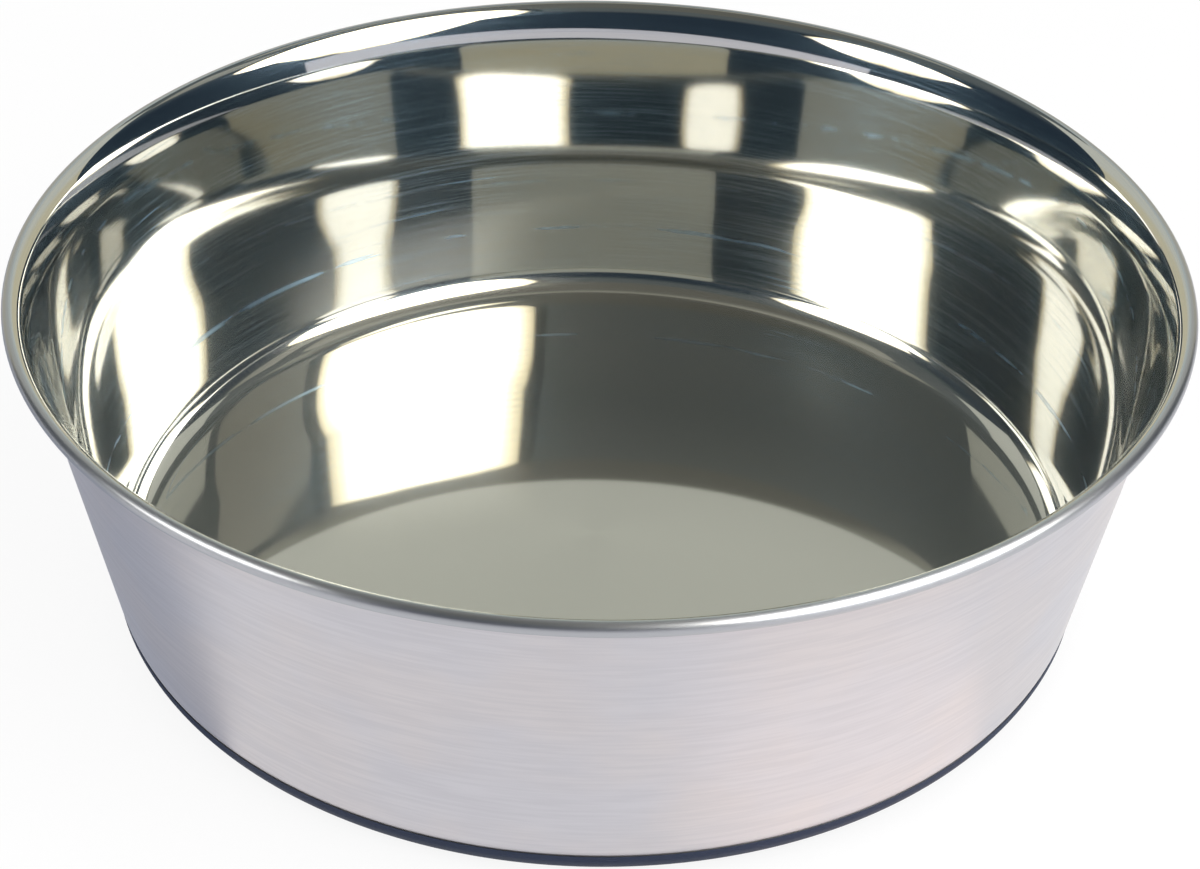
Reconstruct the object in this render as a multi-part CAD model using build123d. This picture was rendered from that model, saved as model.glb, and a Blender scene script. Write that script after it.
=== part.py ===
from build123d import *
import os
from math import atan2, cos, degrees, pi, radians, sin, tan

# Stainless dog bowl: one drawn steel sheet with a rolled rim, bonded to a rubber base.
# Millimetres, +Z up. The origin is on the bowl's axis, on the surface that it stands on.

# Whole bowl
rim_diameter = 240.0      # outside of the rolled rim
bowl_height = 74.5        # from the surface underneath to the top of the rim
base_diameter = 206.6     # where the wall's outer line meets the level of the steel's underside

# Steel sheet
sheet_thickness = 0.6
corner_radius = 7.0       # inside, between the floor and the wall
bead_diameter = 3.0       # outside of the rolled edge
neck_setback = 0.95       # the wall's outer line passes this far inside the rolled edge
flare_turn = 13.3         # degrees that the flare turns outwards from the wall
brow_radius = 5.2         # bright side of the tighter bend between the flare and the roll
brow_turn = 28.7          # degrees that this bend turns
roll_turn = 275.0         # degrees that the edge is rolled round

# Bond between the sheet and the rubber
bond_thickness = 0.2
bond_recess = 0.4         # the film stops this far short of the lip's top, along the corner

# Rubber base
rubber_thickness = 2.0    # under the flat of the steel
lip_height = 6.4          # from the surface underneath to the top of the rubber's lip
lip_stand = 0.15          # the lip's outer face stands this far outside the wall's outer line
rubber_edge_radius = 6.9  # rounding under the lip
groove_width = 3.0
groove_depth = 0.6
groove_count = 6
groove_margin = 6.5       # from the edge of the flat in to the middle of the outermost groove
middle_land_radius = 29.0 # the plain disc inside the innermost groove
overrun = 1.0             # how far a cutter passes the face that it cuts


def place(radius, height):
    """A point of a profile, in the plane through the axis."""
    return Vector(radius, 0, height)


def polar(centre, radius, angle):
    """The point of a circle at an angle from the outward direction, towards +Z."""
    return centre + place(radius * cos(angle), radius * sin(angle))


def arc(centre, radius, start, end):
    middle = (start + end) / 2
    return ThreePointArc(
        polar(centre, radius, start), polar(centre, radius, middle), polar(centre, radius, end)
    )


def turned(edges):
    """The solid that a closed profile sweeps about the bowl's axis."""
    return revolve(make_face(edges), Axis.Z)


# The wall's outer line runs from the underside's level to the rim's top.
rim_radius = rim_diameter / 2
bead_radius = bead_diameter / 2
underside = rubber_thickness + bond_thickness
wall_foot = place(base_diameter / 2, underside)
wall_head = place(rim_radius - bead_diameter - neck_setback, bowl_height)
lean = atan2(wall_head.X - wall_foot.X, wall_head.Z - wall_foot.Z)
wall_out = place(cos(lean), -sin(lean))

# The corner's two faces share a centre, so the sheet keeps its thickness round the bend.
outer_corner_radius = corner_radius + sheet_thickness
corner_centre = place(
    wall_foot.X - outer_corner_radius * (1 - sin(lean)) / cos(lean), underside + outer_corner_radius
)
straight_down = -pi / 2

# Three bends in a row, each tighter than the last, join the wall to the rolled edge without a kink:
# the flare leaves the wall, the brow follows it and runs into the roll. The flare's radius is the one
# that makes the flare touch the wall.
flare_start = pi - lean
brow_start = flare_start - radians(flare_turn)
roll_start = brow_start - radians(brow_turn)
roll_end = roll_start - radians(roll_turn)
bead_centre = place(rim_radius - bead_radius, bowl_height - bead_radius)
brow_centre = polar(bead_centre, bead_radius - brow_radius, roll_start)
brow_offset = (brow_centre - wall_foot).dot(wall_out)
flare_cosine = cos(radians(flare_turn))
flare_radius = (brow_offset + sheet_thickness - brow_radius * flare_cosine) / (1 - flare_cosine)
flare_centre = polar(brow_centre, brow_radius - flare_radius, brow_start)


def steel_bowl():
    """The drawn sheet: floor, corner, leaning wall, flare, brow and rolled edge."""
    floor = underside + sheet_thickness
    outer_flare_radius = flare_radius - sheet_thickness
    outer_brow_radius = brow_radius - sheet_thickness
    bead_bore_radius = bead_radius - sheet_thickness
    outer_foot = polar(corner_centre, outer_corner_radius, -lean)
    outer_head = polar(flare_centre, outer_flare_radius, flare_start)
    inner_foot = polar(corner_centre, corner_radius, -lean)
    inner_head = polar(flare_centre, flare_radius, flare_start)
    return turned([
        Line(place(0, underside), place(corner_centre.X, underside)),
        arc(corner_centre, outer_corner_radius, straight_down, -lean),
        Line(outer_foot, outer_head),
        arc(flare_centre, outer_flare_radius, flare_start, brow_start),
        arc(brow_centre, outer_brow_radius, brow_start, roll_start),
        arc(bead_centre, bead_bore_radius, roll_start, roll_end),
        Line(polar(bead_centre, bead_bore_radius, roll_end), polar(bead_centre, bead_radius, roll_end)),
        arc(bead_centre, bead_radius, roll_end, roll_start),
        arc(brow_centre, brow_radius, roll_start, brow_start),
        arc(flare_centre, flare_radius, brow_start, flare_start),
        Line(inner_head, inner_foot),
        arc(corner_centre, corner_radius, -lean, straight_down),
        Line(place(corner_centre.X, floor), place(0, floor)),
        Line(place(0, floor), place(0, underside)),
    ])


# The rubber hugs the corner from below and ends in a thin lip, whose outer face runs with the wall.
cradle_radius = outer_corner_radius + bond_thickness
lip_top = place(
    wall_foot.X + lip_stand / cos(lean) + (lip_height - underside) * tan(lean), lip_height
)
lip_angle = atan2(lip_top.Z - corner_centre.Z, lip_top.X - corner_centre.X)


def bond_film():
    """The adhesive between the steel's underside and the rubber."""
    edge = lip_angle - bond_recess / cradle_radius
    return turned([
        Line(place(0, rubber_thickness), place(corner_centre.X, rubber_thickness)),
        arc(corner_centre, cradle_radius, straight_down, edge),
        Line(polar(corner_centre, cradle_radius, edge), polar(corner_centre, outer_corner_radius, edge)),
        arc(corner_centre, outer_corner_radius, edge, straight_down),
        Line(place(corner_centre.X, underside), place(0, underside)),
        Line(place(0, underside), place(0, rubber_thickness)),
    ])


def tread_groove(radius):
    """A ring-shaped cutter for one groove of the tread."""
    height = groove_depth + overrun
    ring = Cylinder(radius + groove_width / 2, height) - Cylinder(radius - groove_width / 2, height)
    return Pos(0, 0, groove_depth - height / 2) * ring


def rubber_base():
    """The moulded base: a disc with a lip round the steel's corner and ring grooves for grip."""
    reach = rubber_edge_radius - lip_stand + (underside - rubber_edge_radius) * sin(lean)
    edge_centre = place(wall_foot.X - reach / cos(lean), rubber_edge_radius)
    base = turned([
        Line(place(0, 0), place(edge_centre.X, 0)),
        arc(edge_centre, rubber_edge_radius, straight_down, -lean),
        Line(polar(edge_centre, rubber_edge_radius, -lean), lip_top),
        Line(lip_top, polar(corner_centre, cradle_radius, lip_angle)),
        arc(corner_centre, cradle_radius, lip_angle, straight_down),
        Line(place(corner_centre.X, rubber_thickness), place(0, rubber_thickness)),
        Line(place(0, rubber_thickness), place(0, 0)),
    ])
    innermost = middle_land_radius + groove_width / 2
    outermost = edge_centre.X - groove_margin
    for step in range(groove_count):
        base -= tread_groove(innermost + (outermost - innermost) * step / (groove_count - 1))
    return base


os.makedirs("parts", exist_ok=True)
for make in (steel_bowl, bond_film, rubber_base):
    export_step(make(), "parts/" + make.__name__ + ".step")

print("wall leans", round(degrees(lean), 2), "degrees; flare radius", round(flare_radius, 2))
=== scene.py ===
# %% [markdown]
# # A stainless dog bowl
# The bowl is one sheet of steel, drawn into a dish, rolled over at the rim and bonded to a rubber
# base. Polished metal has hardly a colour of its own: it shows what stands round it. So this lesson
# takes as much care over the studio as over the two turned pieces.
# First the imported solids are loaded. They give the places and sizes that everything here follows.

# %% Load the frame
from math import acos, asin, atan2, cos, degrees, pi, radians, sin

import bpy
from mathutils import Matrix, Vector


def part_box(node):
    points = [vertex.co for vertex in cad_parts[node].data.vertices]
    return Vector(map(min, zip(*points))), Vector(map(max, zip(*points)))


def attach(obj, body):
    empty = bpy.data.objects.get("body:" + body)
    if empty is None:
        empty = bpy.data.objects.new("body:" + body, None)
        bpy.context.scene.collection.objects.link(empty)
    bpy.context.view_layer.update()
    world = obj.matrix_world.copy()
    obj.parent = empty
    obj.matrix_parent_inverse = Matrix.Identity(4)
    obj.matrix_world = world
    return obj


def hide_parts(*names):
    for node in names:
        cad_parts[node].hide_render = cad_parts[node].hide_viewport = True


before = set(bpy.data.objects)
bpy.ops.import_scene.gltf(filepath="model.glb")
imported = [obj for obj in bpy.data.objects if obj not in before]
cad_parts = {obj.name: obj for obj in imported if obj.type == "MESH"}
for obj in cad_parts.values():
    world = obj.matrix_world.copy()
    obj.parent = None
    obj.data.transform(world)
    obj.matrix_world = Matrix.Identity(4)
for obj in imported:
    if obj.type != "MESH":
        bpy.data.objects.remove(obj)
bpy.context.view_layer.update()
steel_low, steel_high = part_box("steel_bowl")
print("rim", round(2 * steel_high.x, 4), "m across,", round(steel_high.z, 4), "m high")

# %% [markdown]
# ## The camera
# A near view from above, so the front of the rim looks much larger than the back. A camera could be
# aimed by a Track To constraint, but a lean of one degree is left over then, so the turn is written
# out as three turns in a row: the lean about the lens, the tilt down, and the turn about the upright.
# A polished bowl shows itself in itself, over and over, so light may bounce off metal ten times.

# %% Place the camera
camera_place = Vector((0, -0.43919, 0.33706))
camera_tilt = radians(35.029)      # down from the horizon
camera_heading = radians(0.061)    # clockwise from +Y, seen from above
camera_lean = radians(1.014)
camera_lens = 75.10                # millimetres, on a sensor 36 mm wide
mirror_bounces = 10

bpy.ops.object.select_all(action="DESELECT")
bpy.ops.object.camera_add()
camera = bpy.context.object
camera.data.lens = camera_lens
camera.matrix_world = (
    Matrix.Translation(camera_place)
    @ Matrix.Rotation(-camera_heading, 4, "Z")
    @ Matrix.Rotation(pi / 2 - camera_tilt, 4, "X")
    @ Matrix.Rotation(camera_lean, 4, "Z")
)
bpy.context.scene.camera = camera
bpy.context.scene.view_settings.view_transform = "Standard"
bpy.context.scene.cycles.glossy_bounces = mirror_bounces
print("camera", round(camera_place.length, 3), "m from the bowl")

# %% [markdown]
# ## Shader maths as Python
# Node trees get hard to read when each sum is three lines of links. This small class wraps an output
# socket, so that a sum of two of them is written with a plus sign and adds its own Math node. Any
# other node comes from `node`, which sets the node's settings first and then its sockets.

# %% A class for shader values
class Value:
    """An output socket that can stand in a Python expression."""

    def __init__(self, socket):
        self.socket = socket

    def __getitem__(self, name):
        """Another output of the same node."""
        return Value(self.socket.node.outputs[name])

    def maths(self, operation, *operands):
        inputs = dict(enumerate(operands))
        return node(self.socket.id_data, "ShaderNodeMath", {"operation": operation}, inputs)

    def __add__(self, other):
        return self.maths("ADD", self, other)

    def __radd__(self, other):
        return self.maths("ADD", other, self)

    def __sub__(self, other):
        return self.maths("SUBTRACT", self, other)

    def __rsub__(self, other):
        return self.maths("SUBTRACT", other, self)

    def __mul__(self, other):
        return self.maths("MULTIPLY", self, other)

    def __rmul__(self, other):
        return self.maths("MULTIPLY", other, self)

    def __truediv__(self, other):
        return self.maths("DIVIDE", self, other)

    def __pow__(self, other):
        return self.maths("POWER", self, other)

    def __abs__(self):
        return self.maths("ABSOLUTE", self)


def node(tree, kind, settings=None, inputs=None):
    """Adds a node of any kind, and returns its first output."""
    made = tree.nodes.new(kind)
    for name, setting in (settings or {}).items():
        setattr(made, name, setting)
    for name, value in (inputs or {}).items():
        if isinstance(value, Value):
            tree.links.new(value.socket, made.inputs[name])
        else:
            made.inputs[name].default_value = value
    return Value(made.outputs[0]) if made.outputs else None


print("shader values ready")

# %% [markdown]
# Most finishes need the same few steps: an empty tree, a mask with a soft edge, and two colours mixed
# by that mask. They could be set up node by node each time, but as helpers they read like a recipe.

# %% Helpers for finishes
def new_finish(name):
    """An empty material, and its tree."""
    material = bpy.data.materials.new(name)
    material.use_nodes = True
    material.node_tree.nodes.clear()
    return material, material.node_tree


def output(tree, shader):
    node(tree, "ShaderNodeOutputMaterial", {}, {"Surface": shader})


def ease(tree, value, low, high):
    """0 below low and 1 above high, with a smooth climb between them."""
    return node(
        tree, "ShaderNodeMapRange", {"interpolation_type": "SMOOTHSTEP"},
        {"Value": value, "From Min": low, "From Max": high},
    )


def mix_colours(tree, share, first, second):
    """Two colours mixed by a value. A Mix node has a set of sockets for each kind of data, under the
    same names, so the ones for colours are found by their number."""
    return node(tree, "ShaderNodeMix", {"data_type": "RGBA"}, {0: share, 6: first, 7: second})[2]


print("helpers for finishes ready")

# %% [markdown]
# ## The floor
# The bowl stands on a wide white floor. More light would make a floor white, but it would also bleach
# the bowl. So most of the floor's white is its own, for the camera and for reflections, and the rest
# comes from the lamps and keeps the bowl's shadow.

# %% Lay the floor
white = (1, 1, 1, 1)
floor_side = 8.0
floor_colour = (0.90, 0.90, 0.90, 1)
whiteness = 0.88                   # the share of the floor that is white by itself


def seen(tree):
    """1 for rays that show a surface to the camera, straight or by way of metal or glass."""
    path = node(tree, "ShaderNodeLightPath")
    shown = path["Is Camera Ray"].maths("MAXIMUM", path["Is Camera Ray"], path["Is Glossy Ray"])
    return shown.maths("MAXIMUM", shown, path["Is Transmission Ray"])


bpy.ops.object.select_all(action="DESELECT")
bpy.ops.mesh.primitive_plane_add(size=floor_side)
floor = bpy.context.object
floor.name = "studio_floor"
paper, tree = new_finish("floor_paper")
lit = node(tree, "ShaderNodeBsdfDiffuse", {}, {"Color": floor_colour})
own_white = node(tree, "ShaderNodeEmission", {}, {"Color": white, "Strength": 1.0})
output(tree, node(tree, "ShaderNodeMixShader", {}, {0: seen(tree) * whiteness, 1: lit, 2: own_white}))
floor.data.materials.append(paper)
print("floor", floor_side, "m square")

# %% [markdown]
# ## Cards for the reflections
# A mirror is black wherever nothing stands in front of it. In a studio, cards and sheets just out of
# the picture fill it. Here each one is a mesh with a glow of its own. The camera doesn't see them, and
# they light nothing and cast no shadow, so each can be set by what the steel shows and by nothing else.

# %% Surfaces and places of cards
def glow(name, first_colour, second_colour, start, end, along="Z"):
    """A card's surface, with its own brightness. Its colour changes between two places on an axis."""
    material, tree = new_finish(name)
    place = node(tree, "ShaderNodeTexCoord")["Object"]
    reached = node(tree, "ShaderNodeSeparateXYZ", {}, {"Vector": place})[along]
    colour = mix_colours(tree, ease(tree, reached, start, end), (*first_colour, 1), (*second_colour, 1))
    output(tree, node(tree, "ShaderNodeEmission", {}, {"Color": colour, "Strength": 1.0}))
    return material


def show_in_reflections_only(card, material):
    card.data.materials.append(material)
    card.visible_camera = False
    card.visible_diffuse = False
    card.visible_transmission = False
    card.visible_shadow = False


def settle(card):
    """Moves a card's place into its mesh, so that its Object coordinates are those of the studio."""
    bpy.ops.object.select_all(action="DESELECT")
    card.select_set(True)
    bpy.context.view_layer.objects.active = card
    bpy.ops.object.transform_apply(location=True, rotation=True, scale=True)


def heading(azimuth, elevation=0):
    """The direction at an azimuth, clockwise from +Y, and at an elevation, both in degrees."""
    turn, climb = radians(azimuth), radians(elevation)
    return Vector((sin(turn) * cos(climb), cos(turn) * cos(climb), sin(climb)))


def oval_card(name, place, turn, width, height, sides=72):
    """A flat oval, still with its own place, turn and scale."""
    bpy.ops.object.select_all(action="DESELECT")
    bpy.ops.mesh.primitive_circle_add(
        vertices=sides, radius=0.5, fill_type="NGON", location=place, rotation=turn
    )
    card = bpy.context.object
    card.name = name
    card.scale = (width, height, 1)
    return card


print("surfaces and places of cards ready")

# %% [markdown]
# ## The soft boxes
# Two soft boxes stand to the front, left and right, as on a small product table. Each is an oval lamp
# with its cloth as a card in the same place: the lamp lights the floor, and the cloth is what the
# steel shows. A lamp could show in the steel by itself, but it would be evenly white up to a hard
# edge, and a real cloth is warm and dim where it nears its frame.

# %% Set up the soft boxes
black = (0, 0, 0, 1)
cloth_white = (1, 1, 0.97, 1)
cloth_edge_colour = (1, 0.88, 0.60, 1)
cloth_edge_level = 0.3             # the edge's brightness, as a share of the middle's
cloth_ripple = 0.16                # how far the edge wanders, in half widths


def cloth_glow(name, strength, taper):
    """A soft box's cloth: bright in the middle, narrower at the top by its taper, and warm and a
    little uneven along its edge."""
    material, tree = new_finish(name)
    place = node(tree, "ShaderNodeTexCoord")["Object"]
    spot = node(tree, "ShaderNodeSeparateXYZ", {}, {"Vector": place})
    across, up = spot["X"] * (1 + taper * spot["Y"]), spot["Y"]
    spread = (across * across + up * up) ** 0.5
    ripple = node(tree, "ShaderNodeTexNoise", {}, {"Vector": place, "Scale": 7.0, "Detail": 2.0})
    inside = 1 - 2 * spread + cloth_ripple * (ripple - 0.5)
    tint = mix_colours(tree, ease(tree, inside, 0.0, 0.30), cloth_edge_colour, cloth_white)
    level = cloth_edge_level + (1 - cloth_edge_level) * ease(tree, inside, 0.0, 0.35)
    colour = mix_colours(tree, ease(tree, inside, 0.0, 0.05) * level, black, tint)
    output(tree, node(tree, "ShaderNodeEmission", {}, {"Color": colour, "Strength": strength}))
    return material


def soft_box(name, azimuth, elevation, distance, width, height, taper, cloth, light):
    """An oval lamp that faces the bowl, and its cloth. Cloth and light are their brightness."""
    towards = heading(azimuth, elevation)
    place = distance * towards + Vector((0, 0, steel_high.z))
    facing_bowl = (-towards).to_track_quat("-Z", "Y").to_euler()

    bpy.ops.object.select_all(action="DESELECT")
    bpy.ops.object.light_add(type="AREA", location=place, rotation=facing_bowl)
    lamp = bpy.context.object
    lamp.name = name
    lamp.data.shape = "ELLIPSE"
    lamp.data.size = width
    lamp.data.size_y = height
    lamp.data.energy = pi * width * height * light
    lamp.visible_camera = False
    lamp.visible_glossy = False

    card = oval_card(name + "_cloth", place, facing_bowl, width, height)
    show_in_reflections_only(card, cloth_glow(name + "_cloth", cloth, taper))
    print(name, "at", [round(number, 3) for number in place])


soft_box(
    "soft_box_right", azimuth=124, elevation=40, distance=0.85,
    width=0.95, height=0.97, taper=0.6, cloth=8.0, light=2.0,
)
soft_box(
    "soft_box_left", azimuth=-113, elevation=27, distance=0.75,
    width=0.52, height=0.45, taper=1.0, cloth=4.6, light=1.5,
)

# %% [markdown]
# ## The ring of cards
# A dark card goes all the way round and gives the steel its contrast. In front of it come a pale sheet
# at the back, a grey one high on the right, and a low one at the front, which the far side of the rim
# shows as a pale band. Flat cards would do, but bent ones keep the same distance from the bowl all
# along. Each is cut from a cylinder.

# %% Hang the cards round the bowl
room_radius = 1.5
room_height = 2.5
card_sides = 180


def round_card(name, radius, height, middle, sweep, material, foot=0.0, tilt=Matrix.Identity(4)):
    """A card bent round the bowl, with its foot above the floor. Middle and sweep are degrees of
    azimuth."""
    bpy.ops.object.select_all(action="DESELECT")
    bpy.ops.mesh.primitive_cylinder_add(
        vertices=card_sides, radius=radius, depth=height, end_fill_type="NOTHING",
        location=(0, 0, foot + height / 2),
    )
    card = bpy.context.object
    card.name = name
    bpy.ops.object.mode_set(mode="EDIT")
    bpy.ops.mesh.select_all(action="DESELECT")
    bpy.ops.object.mode_set(mode="OBJECT")
    for face in card.data.polygons:
        azimuth = degrees(atan2(face.center.x, face.center.y))
        from_middle = (azimuth - middle + 180) % 360 - 180
        face.select = abs(from_middle) > sweep / 2
    bpy.ops.object.mode_set(mode="EDIT")
    bpy.ops.mesh.delete(type="FACE")
    bpy.ops.object.mode_set(mode="OBJECT")
    card.matrix_world = tilt @ card.matrix_world
    settle(card)
    show_in_reflections_only(card, material)
    print(name, len(card.data.polygons), "faces")


dark = glow("dark_card", (0.022, 0.037, 0.056), (0.125, 0.145, 0.15), start=0.95, end=1.65)
round_card("dark_card", room_radius, room_height, middle=0, sweep=360, material=dark)

pale = glow("pale_sheet", (0.70, 0.66, 0.49), (0.69, 0.71, 0.65), start=0.38, end=0.68)
round_card("pale_sheet", radius=1.3, height=1.38, middle=-4, sweep=108, material=pale)

grey = glow("grey_sheet", (0.36, 0.36, 0.32), (0.44, 0.44, 0.40), start=1.15, end=1.65)
round_card("grey_sheet", radius=1.2, height=0.50, middle=71, sweep=34, material=grey, foot=1.15)

low = glow("low_sheet", (0.76, 0.76, 0.83), (0.70, 0.71, 0.80), start=0.15, end=0.35)
low_tilt = Matrix.Rotation(radians(6), 4, heading(155).cross(Vector((0, 0, 1))))
round_card("low_sheet", radius=1.4, height=0.20, middle=176, sweep=124, material=low, tilt=low_tilt)

# %% [markdown]
# ## The flat cards
# A ceiling closes the room above. On the floor, a grey card to the back left is a painted shadow: it
# stands for the floor that the bowl shades from the right soft box, which the floor's own white would
# hide, and it greys the left of the brushed wall. An oval of warm light lies at the wall's right, where
# the wall throws some of the lamp's light down. Cycles could work that light out, but slowly and with
# specks, so it is painted on.

# %% Lay the flat cards
card_lift = 0.0002                 # above the floor
# The grey card is a painted shadow, where the bowl shades the floor from the right soft box.
painted_shadow_card_place = (-0.231, 0.115, card_lift)
painted_shadow_card_size = (0.338, 0.38, 1)
warm_oval_place = (0.0607, -0.1052, card_lift)
warm_oval_turn = (0, 0, radians(30))

ceiling = oval_card(
    "ceiling", (0, 0, room_height), (0, 0, 0), 2 * room_radius, 2 * room_radius, sides=90
)
settle(ceiling)
overhead = glow("ceiling", (0.16, 0.16, 0.14), (0.45, 0.45, 0.40), start=0.1, end=0.9, along="Y")
show_in_reflections_only(ceiling, overhead)

# Painted shadow: a grey card on the floor to the back left, seen only in reflections, stands for the
# floor in the bowl's shadow.
bpy.ops.object.select_all(action="DESELECT")
bpy.ops.mesh.primitive_plane_add(size=1, location=painted_shadow_card_place)
painted_shadow_card = bpy.context.object
painted_shadow_card.name = "painted_shadow_card"
painted_shadow_card.scale = painted_shadow_card_size
settle(painted_shadow_card)
beside = glow("painted_shadow_card", (0.42, 0.45, 0.52), (0.46, 0.49, 0.56), start=-0.40, end=-0.10, along="X")
show_in_reflections_only(painted_shadow_card, beside)

warm_oval = oval_card("floor_light", warm_oval_place, warm_oval_turn, width=0.105, height=0.055)
settle(warm_oval)
warm = glow("floor_light", (1.0, 1.0, 1.0), (1.27, 1.18, 1.13), start=0.005, end=0.05, along="X")
show_in_reflections_only(warm_oval, warm)

# %% [markdown]
# ## The world
# Past the floor's edge the camera sees white, and so do reflections that find a way past the cards.
# The light that the world sheds on the floor and the rubber is only a fill, so it has its own level.

# %% Light the world
fill_light = 0.75
world = bpy.context.scene.world or bpy.data.worlds.new("studio")
bpy.context.scene.world = world
world.use_nodes = True
world.node_tree.nodes.clear()
tree = world.node_tree
world_light = fill_light + seen(tree) * (1 - fill_light)
sky = node(tree, "ShaderNodeBackground", {}, {"Color": white, "Strength": world_light})
node(tree, "ShaderNodeOutputWorld", {}, {"Surface": sky})
print("fill light", fill_light)

# %% [markdown]
# ## Marks that run round
# Both sides of the sheet were finished while the bowl turned, so every mark runs round the axis. An
# image could be wrapped round it, but noise has no seam: its place on the ring is held small and its
# place along the section large, which draws it out along the turn.

# %% Noise that runs round the axis
def ring_noise(tree, around, along, detail, shift=0.0):
    """Noise drawn out round the axis: around and along are its turns per ring and per metre."""
    place = node(tree, "ShaderNodeTexCoord")["Object"]
    spot = node(tree, "ShaderNodeSeparateXYZ", {}, {"Vector": place})
    x, y, z = spot["X"], spot["Y"], spot["Z"]
    radius = (x * x + y * y) ** 0.5
    ring = node(tree, "ShaderNodeCombineXYZ", {}, {
        "X": x / radius * around, "Y": y / radius * around, "Z": (radius + z) * along + shift,
    })
    return node(tree, "ShaderNodeTexNoise", {}, {"Vector": ring, "Scale": 1.0, "Detail": detail})


def bump(tree, height, distance):
    return node(tree, "ShaderNodeBump", {}, {"Height": height, "Distance": distance, "Strength": 1.0})


grain_turn = 0.25                  # a quarter turn lays a shader's stretched highlight across the marks
print("ring noise ready")

# %% [markdown]
# ## Bright polish
# The inside is buffed almost to a mirror. One shader with a middling roughness would blur every
# reflection, so there are two, a sharp mirror and a haze, and a Mix Shader's factor gives the haze its
# share: little on the wall, more on the floor and in the streaks that the wheel left, most in a broken
# scratch low on the wall and on the rolled edge, which is rubbed dull. A drawn wall is never quite
# straight either. A bow of less than a millimetre hardly shows in its outline, but it shifts what the
# wall mirrors, so a bump stands for it.

# %% Choose the polish
wall_foot = (0.003, 0.012)         # heights where the floor's polish becomes the wall's
edge_reach = (0.1176, 0.1188)      # radii where the wall's polish becomes the rolled edge's
bow_reach = (0.006, 0.038)         # heights that the wall's bow lies between
bow_depth = 0.00070
scratch_level = 0.0190
scratch_reach = (0.0001, 0.0010)   # how far a scratch stays whole, and how far it reaches

floor_mirror = (0.56, 0.555, 0.515, 1)
wall_mirror = (0.62, 0.61, 0.575, 1)
floor_haze = (0.56, 0.55, 0.50, 1)
wall_haze = (0.36, 0.53, 0.70, 1)
edge_haze = (0.43, 0.44, 0.48, 1)

haze_everywhere = 0.05             # shares of the haze
haze_in_streaks = 0.20
haze_in_scratch = 0.55
haze_on_floor = 0.17
haze_on_edge = 0.9
print("bow", 1000 * bow_depth, "mm, scratch at", 1000 * scratch_level, "mm")


# %% Make the bright polish
def bright_polish():
    material, tree = new_finish("bright_polish")
    place = node(tree, "ShaderNodeTexCoord")["Object"]
    spot = node(tree, "ShaderNodeSeparateXYZ", {}, {"Vector": place})
    height = spot["Z"]
    radius = (spot["X"] * spot["X"] + spot["Y"] * spot["Y"]) ** 0.5
    on_wall = ease(tree, height, *wall_foot)
    on_edge = ease(tree, radius, *edge_reach)

    lines = ring_noise(tree, around=3, along=1500, detail=3)
    cloudy = node(tree, "ShaderNodeTexNoise", {}, {"Vector": place, "Scale": 26.0, "Detail": 3.0})
    streaks = ease(tree, lines, 0.45, 0.75) * (0.3 + ease(tree, cloudy, 0.40, 0.65))
    broken = ease(tree, ring_noise(tree, around=5, along=300, detail=4, shift=7), 0.46, 0.66)
    scratch = (1 - ease(tree, abs(height - scratch_level), *scratch_reach)) * broken
    on_sheet = haze_everywhere + haze_in_streaks * streaks * on_wall + haze_in_scratch * scratch
    share = on_edge.maths("MAXIMUM", haze_on_edge * on_edge, on_sheet + haze_on_floor * (1 - on_wall))

    bow = bump(tree, ease(tree, height, *bow_reach), bow_depth)
    mirror = node(tree, "ShaderNodeBsdfPrincipled", {}, {
        "Base Color": mix_colours(tree, on_wall, floor_mirror, wall_mirror),
        "Metallic": 1.0,
        "Roughness": 0.04,
        "Normal": bow,
    })
    sheet_haze = mix_colours(tree, on_wall, floor_haze, wall_haze)
    haze = node(tree, "ShaderNodeBsdfPrincipled", {}, {
        "Base Color": mix_colours(tree, on_edge, sheet_haze, edge_haze),
        "Metallic": 1.0,
        "Roughness": 0.30 + 0.08 * on_edge,
        "Anisotropic": 0.6,
        "Anisotropic Rotation": grain_turn,
        "Normal": bow,
    })
    output(tree, node(tree, "ShaderNodeMixShader", {}, {0: share, 1: mirror, 2: haze}))
    print("bright polish:", len(tree.nodes), "nodes")
    return material


# %% [markdown]
# ## Satin brushing
# The outside was brushed on the same lathe with a coarser wheel. Each line could be a groove, but the
# grain is finer than a pixel, so most of it is roughness, stretched across the grain by the shader's
# anisotropy. What shows from a step away is a change of tone from line to line, and a wider, blotchy one.

# %% Make the satin brushing
satin_cool = (0.605, 0.593, 0.632, 1)
satin_warm = (0.63, 0.600, 0.618, 1)
satin_line = (0.46, 0.45, 0.49, 1)
line_share = 0.26
brush_depth = 0.000004


def satin_brush():
    material, tree = new_finish("satin_brush")
    grain = ring_noise(tree, around=7, along=1100, detail=4)
    blotches = ring_noise(tree, around=4, along=35, detail=3, shift=3)
    tone = mix_colours(tree, ease(tree, blotches, 0.35, 0.65), satin_cool, satin_warm)
    shader = node(tree, "ShaderNodeBsdfPrincipled", {}, {
        "Base Color": mix_colours(tree, line_share * ease(tree, grain, 0.30, 0.70), tone, satin_line),
        "Metallic": 1.0,
        "Roughness": 0.34 + 0.12 * grain,
        "Anisotropic": 0.5,
        "Anisotropic Rotation": grain_turn,
        "Normal": bump(tree, grain, brush_depth),
    })
    output(tree, shader)
    print("satin brushing:", len(tree.nodes), "nodes")
    return material


# %% [markdown]
# ## Turned pieces
# Both pieces are round, so each is drawn as half a section and then turned about the axis. By hand
# that is a vertex, extruded for each straight run and spun for each bend, and at the end one more
# spin for the whole section. This class does the same, and remembers where the pen is.

# %% A pen for sections
merge_distance = 0.000002


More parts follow.
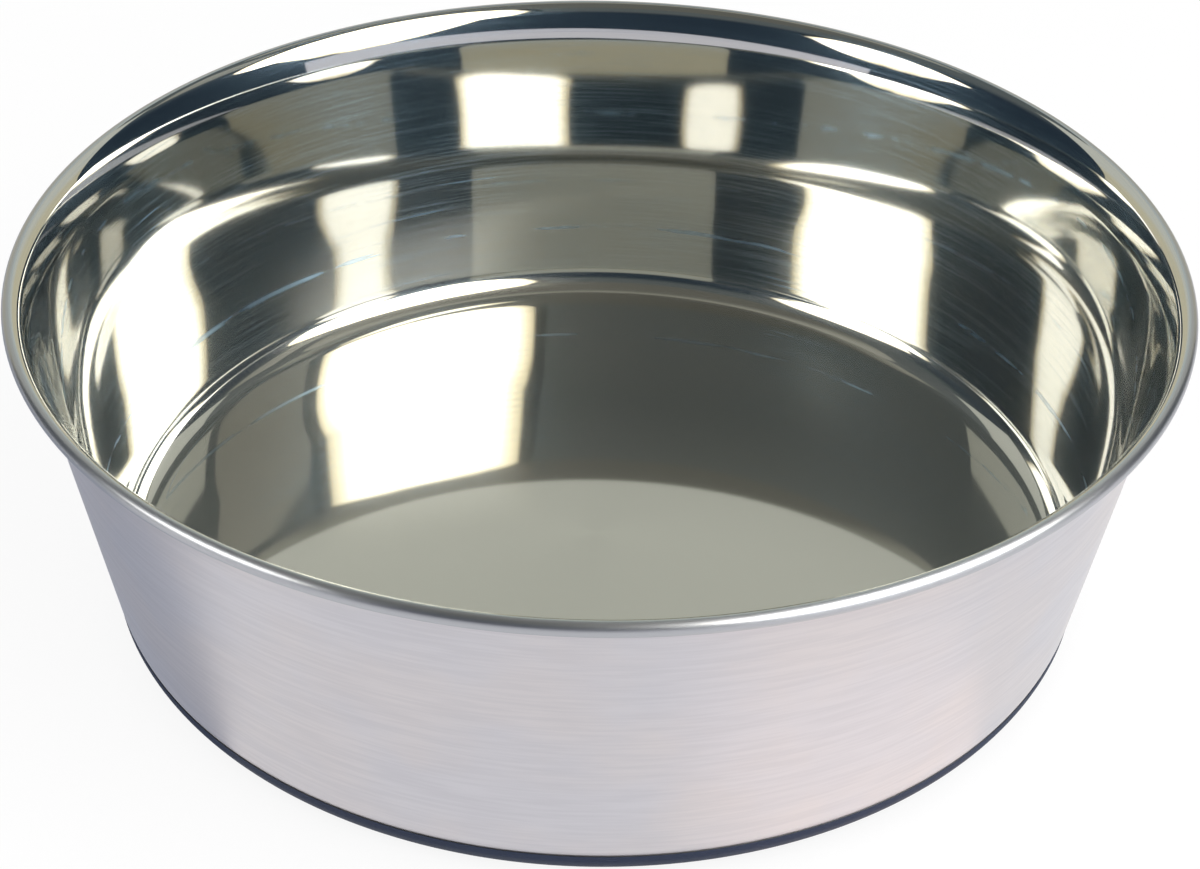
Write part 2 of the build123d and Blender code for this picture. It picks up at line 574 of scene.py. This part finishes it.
class Section:
    """A line of vertices in the plane where y is 0, drawn from a point (radius, height)."""

    def __init__(self, name, start):
        bpy.ops.object.select_all(action="DESELECT")
        bpy.ops.mesh.primitive_plane_add(size=start.length or 1)
        self.piece = bpy.context.object
        self.piece.name = self.piece.data.name = name
        bpy.ops.object.mode_set(mode="EDIT")
        bpy.ops.mesh.select_all(action="SELECT")
        bpy.ops.mesh.merge(type="CENTER")
        bpy.ops.transform.translate(value=(start.x, 0, start.y))
        self.pen = start

    def line(self, *stops):
        for stop in stops:
            step = stop - self.pen
            bpy.ops.mesh.extrude_region_move(TRANSFORM_OT_translate={"value": (step.x, 0, step.y)})
            self.pen = stop

    def bend(self, centre, turn, steps):
        """An arc from the pen about a centre. A turn above 0 goes from outwards to upwards."""
        bpy.ops.mesh.spin(
            steps=steps, angle=turn, center=(centre.x, 0, centre.y), axis=(0, 1, 0), use_auto_merge=False
        )
        self.pen = centre + Matrix.Rotation(turn, 2) @ (self.pen - centre)

    def turn(self, steps, normals_inside):
        """Spins the section about the bowl's axis, and closes the seam and the poles."""
        bpy.ops.mesh.select_all(action="SELECT")
        bpy.ops.mesh.spin(steps=steps, angle=2 * pi, center=(0, 0, 0), axis=(0, 0, 1))
        bpy.ops.mesh.select_all(action="SELECT")
        bpy.ops.mesh.remove_doubles(threshold=merge_distance)
        bpy.ops.mesh.normals_make_consistent(inside=normals_inside)
        bpy.ops.object.mode_set(mode="OBJECT")
        return self.piece


print("section pen ready")

# %% [markdown]
# ## The steel sheet
# The section follows the bright side of the sheet: along the floor, round the corner, up the leaning
# wall, out through the flare, over the tighter bend above it, the brow, and round the rolled edge.
# Points could be read off the solid, but its sizes say more, so the bends are worked out from them in
# the same way as for the solid.

# %% Sizes of the sheet
sheet = 0.0006
floor_level = steel_low.z + sheet
foot_radius = 0.1033
corner_radius = 0.0070
bead_radius = 0.0015
neck_setback = 0.00095
brow_radius = 0.0052
flare_turn = radians(13.3)
brow_turn = radians(28.7)
roll_turn = radians(275)


def facing(slope):
    """The way that the bright side faces where it slopes outwards by an angle from upright."""
    return Vector((-cos(slope), sin(slope)))


foot = Vector((foot_radius, steel_low.z))
head = Vector((steel_high.x - 2 * bead_radius - neck_setback, steel_high.z))
lean = atan2(head.x - foot.x, head.y - foot.y)
outwards = Vector((cos(lean), -sin(lean)))
corner_outside = corner_radius + sheet
corner = Vector((foot.x - corner_outside * (1 - sin(lean)) / cos(lean), steel_low.z + corner_outside))
bead = Vector((steel_high.x - bead_radius, steel_high.z - bead_radius))
brow = bead + (bead_radius - brow_radius) * facing(lean + flare_turn + brow_turn)
brow_offset = (brow - foot).dot(outwards)
flare_radius = (brow_offset + sheet - brow_radius * cos(flare_turn)) / (1 - cos(flare_turn))
flare = brow + (brow_radius - flare_radius) * facing(lean + flare_turn)
wall_start = corner + corner_radius * outwards
wall_end = flare - flare_radius * outwards
print("wall leans", round(degrees(lean), 2), "degrees; flare", round(flare_radius * 1000, 2), "mm")

# %% [markdown]
# Short holding runs at both ends of a straight stretch keep its shading straight, which matters on a
# mirror. The sheet then gets its thickness from a Solidify modifier, whose material offset puts a
# second finish on the outer side.

# %% Draw and turn the sheet
hold = 0.0004
round_steps = 256
smooth_angle = radians(35)
wall_run = (wall_end - wall_start).normalized()


def triangles(piece):
    return sum(len(face.vertices) - 2 for face in piece.data.polygons)


section = Section("steel_bowl_skin", Vector((0, floor_level)))
section.line(Vector((corner.x - hold, floor_level)), Vector((corner.x, floor_level)))
section.bend(corner, pi / 2 - lean, steps=24)
section.line(wall_start + hold * wall_run, wall_end - hold * wall_run, wall_end)
section.bend(flare, -flare_turn, steps=10)
section.bend(brow, -brow_turn, steps=12)
section.bend(bead, -roll_turn, steps=44)
steel = section.turn(round_steps, normals_inside=False)

steel.data.materials.append(bright_polish())
steel.data.materials.append(satin_brush())
thickness = steel.modifiers.new("sheet", "SOLIDIFY")
thickness.thickness = sheet
thickness.offset = -1
thickness.use_even_offset = True
thickness.material_offset = 1
thickness.material_offset_rim = 0
bpy.ops.object.modifier_apply(modifier=thickness.name)
bpy.ops.object.shade_smooth_by_angle(angle=smooth_angle)
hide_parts("steel_bowl")
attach(steel, "root")
print(steel.name, triangles(steel), "triangles")

# %% [markdown]
# ## The rubber base
# A moulded disc whose thin lip hugs the steel's corner, with ring grooves underneath for grip. The
# grooves could be cut with a Boolean modifier, but as steps in the section they turn along with it.
# The lip ends a little short of the solid's, because the steel mirrors it and so makes it look taller.

# %% Draw and turn the rubber
rubber_level = 0.0020
film = 0.0002
lip_radius = 0.1039
lip_height = 0.0062
flat_radius = 0.09728
edge_radius = 0.0069
groove_width = 0.0030
groove_depth = 0.0006
groove_count = 6
groove_margin = 0.0065
middle_land = 0.0290

cradle = corner_outside + film
lip_angle = asin((corner.y - lip_height) / cradle)
lip_inside = corner + cradle * Vector((cos(lip_angle), -sin(lip_angle)))
edge = Vector((flat_radius, edge_radius))
side_angle = acos((lip_radius - flat_radius) / edge_radius)
innermost = middle_land + groove_width / 2
outermost = edge.x - groove_margin

section = Section("rubber_base_skin", Vector((0, 0)))
for step in range(groove_count):
    middle = innermost + (outermost - innermost) * step / (groove_count - 1)
    near, far = middle - groove_width / 2, middle + groove_width / 2
    section.line(
        Vector((near, 0)), Vector((near, groove_depth)), Vector((far, groove_depth)), Vector((far, 0))
    )
section.line(Vector((edge.x, 0)))
section.bend(edge, pi / 2 - side_angle, steps=24)
section.line(Vector((lip_radius, lip_height)), lip_inside)
section.bend(corner, lip_angle - pi / 2, steps=20)
section.line(Vector((0, rubber_level)))
rubber = section.turn(round_steps, normals_inside=False)
bpy.ops.object.shade_smooth_by_angle(angle=smooth_angle)
print(rubber.name, triangles(rubber), "triangles")

# %% [markdown]
# ## Moulded rubber
# A blue-black rubber with the fine matt grain of its mould. The grain is too small to model, so one
# noise serves as roughness and as bump. The shine is turned down, as on a filled rubber.

# %% Make the moulded rubber
rubber_colour = (0.009, 0.018, 0.048, 1)


def moulded_rubber():
    material, tree = new_finish("moulded_rubber")
    place = node(tree, "ShaderNodeTexCoord")["Object"]
    grain = node(tree, "ShaderNodeTexNoise", {}, {"Vector": place, "Scale": 2500.0, "Detail": 3.0})
    shader = node(tree, "ShaderNodeBsdfPrincipled", {}, {
        "Base Color": rubber_colour,
        "Specular IOR Level": 0.33,
        "Roughness": 0.5 + 0.25 * grain,
        "Normal": bump(tree, grain, 0.00002),
    })
    output(tree, shader)
    return material


rubber.data.materials.append(moulded_rubber())
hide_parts("rubber_base")
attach(rubber, "root")
print("moulded rubber on", rubber.name)

# %% [markdown]
# ## The bond film
# The glue line hides between steel and rubber. A new mesh would be a waste, because the solid's own
# shape is right, so it only gets a finish: a dark, lumpy film.

# %% Finish the bond film
def cured_adhesive():
    material, tree = new_finish("cured_adhesive")
    place = node(tree, "ShaderNodeTexCoord")["Object"]
    lumps = node(tree, "ShaderNodeTexNoise", {}, {"Vector": place, "Scale": 400.0, "Detail": 2.0})
    shader = node(tree, "ShaderNodeBsdfPrincipled", {}, {
        "Base Color": (0.02, 0.02, 0.022, 1),
        "Roughness": 0.35 + 0.3 * lumps,
        "Normal": bump(tree, lumps, 0.00003),
    })
    output(tree, shader)
    return material


film_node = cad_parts["bond_film"]
film_node.data.materials.clear()
film_node.data.materials.append(cured_adhesive())
print("cured adhesive on", film_node.name)
